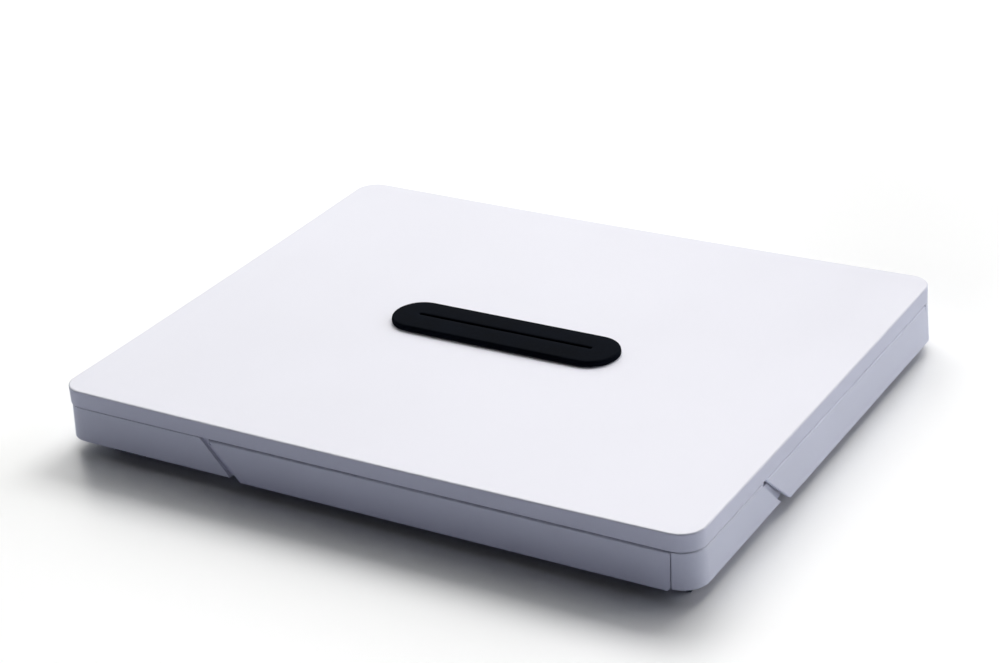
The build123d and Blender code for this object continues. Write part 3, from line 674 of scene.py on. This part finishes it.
# ---------------------------------------------------------------- cups and paint
def cup_rings(cx, cy):
    def ring(w, d, r, z, inset=0.0):
        return [(x, y, z) for x, y in rrect(w - 2 * inset, d - 2 * inset, max(0.6, r - inset), 5, 4, cx, cy)]

    def body(z, inset=0.0):
        t = (Z_DECK - z) / CUP_DEPTH * CUP_DRAFT
        return ring(CUP_X - 2 * t, CUP_Y - 2 * t, 4.5 - t, z, inset)

    zb = Z_DECK - CUP_DEPTH
    RX, RY, RR = CUP_X + 2 * CUP_RIM, CUP_Y + 2 * CUP_RIM, 5.2
    zr = Z_DECK + RIM_T
    return [ring(CUP_X - 1.8, CUP_Y - 1.8, 3.6, zb + 0.35, 2.2), ring(CUP_X - 1.8, CUP_Y - 1.8, 3.6, zb + 0.3, 1.6),
            ring(CUP_X - 1.8, CUP_Y - 1.8, 3.6, zb, 1.3), ring(CUP_X - 1.8, CUP_Y - 1.8, 3.6, zb, 0.9),
            ring(CUP_X - 1.8, CUP_Y - 1.8, 3.6, zb + 0.12, 0.3), body(zb + 0.6), body(14.0), body(20.0), body(Z_DECK - 0.02),
            ring(RX, RY, RR, Z_DECK + 0.01, 0.3), ring(RX, RY, RR, Z_DECK + 0.12, 0.06), ring(RX, RY, RR, Z_DECK + 0.4),
            ring(RX, RY, RR, zr - 0.15, 0.06), ring(RX, RY, RR, zr, 0.3), ring(CUP_X, CUP_Y, 4.5, zr, 0.3),
            ring(CUP_X, CUP_Y, 4.5, zr - 0.12, 0.62), body(zr - 0.5, CUP_WALL), body(20.0, CUP_WALL), body(14.0, CUP_WALL),
            body(zb + 1.6, CUP_WALL), body(zb + 1.05, CUP_WALL + 0.25), body(zb + 0.8, CUP_WALL + 1.0), body(zb + 0.8, CUP_WALL + 3.0)]


def shade_of(base, row, col):
    """The row's shade of a column's colour: tints at the back, deeper in front, with a drift of hue."""
    import colorsys
    h, s_, v = colorsys.rgb_to_hsv(*base)
    t = row / (ROWS - 1)
    h = (h + (t - 0.5) * 0.045 + 0.008 * math.sin(3.1 * row + 1.7 * col)) % 1.0
    s_ = min(1.0, max(0.0, s_ * (1.06 - 0.62 * max(0.0, t - 0.45))))
    v = min(0.92, v * (0.62 + 0.42 * t) + 0.34 * max(0.0, t - 0.5) + 0.03 * math.sin(2.3 * row + col))
    return colorsys.hsv_to_rgb(h, s_, v)


def build_cups(col):
    slot = "paint_column_%02d" % (col + 1)
    base = next(m["base_color"] for m in frame["record"]["materials"] if m["slot"] == slot)
    cups, fills = bmesh.new(), bmesh.new()
    tint = fills.verts.layers.float_color.new("pcol")
    cx = BX + (col - (COLS - 1) / 2) * PITCH_X
    zb = Z_DECK - CUP_DEPTH
    z_fill = 9.25 + RIM_T + CUP_DEPTH - 0.8 - PAINT_LEVEL
    for row in range(ROWS):
        cy = BY + (row - (ROWS - 1) / 2) * PITCH_Y
        loft(cups, cup_rings(cx, cy))
        if (col, row) == (13, 7):
            color = (0.90, 0.90, 0.87)
        elif (col, row) == (13, 0):
            color = (0.018, 0.018, 0.02)
        elif (col, row) == (13, 1):
            color = (0.16, 0.17, 0.18)
        else:
            color = shade_of(base, row, col)
        seed = Vector((col * 7.31, row * 3.17, 1.9))

        def wall(z, inset):
            t = (Z_DECK - z) / CUP_DEPTH * CUP_DRAFT
            g = 2 * (CUP_WALL + 0.06 + inset)
            return rrect(CUP_X - 2 * t - g, CUP_Y - 2 * t - g, max(0.5, 4.5 - t - CUP_WALL - inset), 5, 6, cx, cy)

        def top(inset, lift):
            out = []
            for x, y in wall(z_fill, inset):
                u, v = (x - cx) / 10.0, (y - cy) / 14.0
                swirl = noise.noise(Vector((u * 1.5, v * 1.9, 0.0)) + seed) * 0.38 + noise.noise(Vector((u * 4.2, v * 5.0, 3.0)) + seed) * 0.12
                out.append((x, y, z_fill - 0.25 + lift + swirl * min(1.0, inset / 1.6)))
            return out

        peak = 0.55 * (0.5 + 0.5 * math.sin(row * 1.9 + col * 2.7))
        rings = [[(x, y, 9.27) for x, y in wall(9.27, 1.0)], [(x, y, 9.9) for x, y in wall(9.9, 0.0)], [(x, y, 15.0) for x, y in wall(15.0, 0.0)],
                 [(x, y, z_fill + 0.30) for x, y in wall(z_fill + 0.30, 0.0)], top(0.35, 0.25), top(0.9, 0.0), top(1.8, -0.12), top(3.0, -0.12),
                 top(4.4, -0.06), top(5.9, 0.0), top(7.3, 0.12 + 0.4 * peak), top(8.5, 0.2 + peak), top(9.4, 0.22 + 1.1 * peak)]
        for r in loft(fills, rings):
            for v in r:
                v[tint] = (*color, 1.0)
    finish_piece(cups, "cup_column_%02d_shells" % (col + 1), CUP, "base", ["cups_column_%02d" % (col + 1)], 50)
    finish_piece(fills, "paint_column_%02d_fill" % (col + 1), PAINT, "base", ["paint_column_%02d" % (col + 1)], 60)


for column in range(COLS):
    build_cups(column)


# every CAD node gets its material; some are replaced below
for n, o in frame["nodes"].items():
    mat = WHITE_BASE
    if n.startswith("paint_"):
        mat = PAINT
    elif n.startswith("cups_"):
        mat = CUP
    elif n.endswith("_pins") or n in ("handle_posts", "handle_screws"):
        mat = STEEL
    elif n in ("handle_core", "handle_bushes"):
        mat = INNER
    elif n == "handle_grip":
        mat = GRIP
    elif n == "rubber_feet":
        mat = FOOT
    elif n == "lid_seal":
        mat = SEAL
    elif n == "cup_rack":
        mat = RACK
    elif n == "lid_shell":
        mat = WHITE
    elif n.endswith("_lock_flap"):
        mat = WHITE_FLAP_PAINTED_LIGHT
    o.data.materials.clear()
    o.data.materials.append(mat)

# ---------------------------------------------------------------- stage
FLOOR_BOUNCE = (0.82, 0.86, 0.97)
WORLD_COLOR = (0.98, 1.0, 0.87)
WORLD_STRENGTH = 0.0301
# a wide soft bank behind and above the box, in sections, and two weak low fills
LIGHTS = [
    ("bank_left_low", (-1.703, 2.029, 1.18), (0, 0, 0), (1.5, 1.0), 11.2, (1.0, 1.0, 0.97)),
    ("bank_left", (-1.341, 1.598, 2.015), (0, 0, 0), (1.5, 1.0), 20.6, (1.0, 0.99, 1.0)),
    ("bank_left_high", (-0.758, 0.904, 2.649), (0, 0, 0), (1.5, 1.0), 2.4, (1.0, 0.98, 0.94)),
    ("bank_back_low", (0.0, 2.649, 1.18), (0, 0, 0), (1.5, 1.0), 2.8, (1.0, 1.0, 0.97)),
    ("bank_back", (0.0, 2.086, 2.015), (0, 0, 0), (1.5, 1.0), 47.0, (1.0, 1.0, 0.98)),
    ("bank_back_high", (0.0, 1.18, 2.649), (0, 0, 0), (1.5, 1.0), 5.2, (0.98, 1.0, 1.0)),
    ("bank_right_low", (1.703, 2.029, 1.18), (0, 0, 0), (1.5, 1.0), 20.2, (0.98, 0.95, 1.0)),
    ("fill_right", (2.44, 1.08, 0.9), (0, 0, 0), (1.4, 1.0), 8.9, (0.78, 0.86, 1.0)),
    ("fill_left", (-2.6, 0.6, 0.9), (0, 0, 0), (1.4, 1.0), 10.2, (0.96, 1.0, 1.0)),
    ("fill_front_low", (0.5, -3.2, 0.32), (0, 0, 0.02), (3.0, 0.5), 5.6, (0.56, 0.57, 1.0)),
]
# seen only in the gloss of rounded edges
GLOSS = [("edge_gloss", (-1.1, -0.5, 1.75), (0, 0, 0), (1.8, 2.4), 75.0, (1.0, 1.0, 1.0)),
         ("lid_gloss", (-1.1, 0.95, 2.2), (0, 0, 0), (0.9, 0.9), 10.0, (1.0, 0.96, 0.98)),
         ("lid_gloss_right", (-0.42, 1.5, 2.0), (0, 0, 0), (0.9, 0.9), 20.0, (1.0, 0.96, 0.98))]
fm = bpy.data.meshes.new("floor")
bm = bmesh.new()
bmesh.ops.create_grid(bm, x_segments=1, y_segments=1, size=60.0)
bm.to_mesh(fm)
bm.free()
floor = bpy.data.objects.new("floor", fm)
bpy.context.scene.collection.objects.link(floor)
F = Mat("floor", (0.96, 0.96, 0.96), 0.30, Specular_IOR_Level=0.5)
# the floor answers bounced light like a grey-blue table, and looks plain white itself
lp = F.nt.nodes.new("ShaderNodeLightPath")
F.to("Base Color", F.mix(lp.outputs["Is Camera Ray"], FLOOR_BOUNCE, (1.0, 1.0, 1.0)))
# camera rays see emission on the floor: near the box it rises with distance from the box's outline and beside its left
# and right sides, painted light that lifts the floor's shadow; far away it fades into a plain white backdrop
far = F.nt.nodes.new("ShaderNodeVectorMath")
far.operation = "LENGTH"
F.nt.links.new(F.co.outputs["Object"], far.inputs[0])
around = F.co.outputs["Object"]
for op, value in (("ABSOLUTE", None), ("SUBTRACT", (0.205, 0.164, 0.0)), ("MAXIMUM", (0.0, 0.0, 0.0)), ("LENGTH", None)):
    step = F.nt.nodes.new("ShaderNodeVectorMath")
    step.operation = op
    F.nt.links.new(around, step.inputs[0])
    if value:
        step.inputs[1].default_value = value
    around = step.outputs["Value" if op == "LENGTH" else "Vector"]
    if op == "MAXIMUM":
        split = F.nt.nodes.new("ShaderNodeSeparateXYZ")
        F.nt.links.new(around, split.inputs[0])
# painted light: lifts the floor's shadow from 3 cm out from the box's outline
painted_shadow_lift = F.math("ADD", F.maprange(around, 0.03, 0.12, 0.0, 0.045), F.maprange(around, 0.10, 0.36, 0.0, 0.08))
# painted light on the shadows beside the left and right sides
painted_shadow_lift = F.math("ADD", painted_shadow_lift, F.maprange(split.outputs["X"], 0.0, 0.05, 0.0, 0.08))
wide = F.maprange(far.outputs["Value"], 0.8, 2.4, 0.0, 0.9)
F.to("Emission Strength", F.math("MULTIPLY", F.math("ADD", painted_shadow_lift, wide), lp.outputs["Is Camera Ray"]))
F.b.inputs["Emission Color"].default_value = (1, 1, 1, 1)
fm.materials.append(F.m)

world = bpy.data.worlds.new("studio")
bpy.context.scene.world = world
world.use_nodes = True
wt = world.node_tree
seen = wt.nodes.new("ShaderNodeBackground")
seen.inputs[0].default_value, seen.inputs[1].default_value = (1, 1, 1, 1), 1.0
lit = wt.nodes["Background"]
lit.inputs[0].default_value, lit.inputs[1].default_value = (*WORLD_COLOR, 1), WORLD_STRENGTH
wmix, wlp = wt.nodes.new("ShaderNodeMixShader"), wt.nodes.new("ShaderNodeLightPath")
wt.links.new(wlp.outputs["Is Camera Ray"], wmix.inputs[0])
wt.links.new(lit.outputs[0], wmix.inputs[1])
wt.links.new(seen.outputs[0], wmix.inputs[2])
wt.links.new(wmix.outputs[0], next(n for n in wt.nodes if n.type == "OUTPUT_WORLD").inputs[0])


def area(name, loc, target, size, power, color=(1, 1, 1)):
    l = bpy.data.lights.new(name, "AREA")
    l.shape = "RECTANGLE"
    l.size, l.size_y = size
    l.energy = power
    l.color = color
    o = bpy.data.objects.new(name, l)
    o.location = loc
    d = Vector(target) - Vector(loc)
    o.rotation_euler = d.to_track_quat("-Z", "Y").to_euler()
    bpy.context.scene.collection.objects.link(o)
    return o


FAR = 2.4
for name_, loc_, target_, size_, power_, color_ in LIGHTS:
    area(name_, [v * FAR for v in loc_], target_, [v * FAR for v in size_], power_ * FAR * FAR, color_)
shiny = bpy.data.collections.new("white_shell")
for node_name in ("lid_shell", "base_frame"):
    shiny.objects.link(frame["nodes"][node_name])
for spec in GLOSS:
    gl = area(*spec)
    gl.visible_diffuse = False
    gl.light_linking.receiver_collection = shiny

# ---------------------------------------------------------------- camera
cam_data = bpy.data.cameras.new("camera")
cam = bpy.data.objects.new("camera", cam_data)
bpy.context.scene.collection.objects.link(cam)
F_PX = 2341.0681
RM = [[0.8606279450688895, 0.5049509464873342, -0.06590964882356462],
      [0.17337820517204283, -0.4122483411705694, -0.8944223293128557],
      [-0.47881054514058197, 0.7583375546837035, -0.442339931521584]]
cam_data.sensor_width = 36.0
cam_data.lens = F_PX / 1000 * 36.0
cam_data.clip_start, cam_data.clip_end = 0.05, 50
right, up, back = Vector(RM[0]), -Vector(RM[1]), -Vector(RM[2])
mw = Matrix((right, up, back)).transposed().to_4x4()
mw.translation = Vector((0.66058053685, -1.0517143267, 0.61276437662 + 0.040))
cam.matrix_world = mw
bpy.context.scene.camera = cam
bpy.context.scene.view_settings.view_transform = "Standard"
bpy.context.scene.view_settings.look = "None"
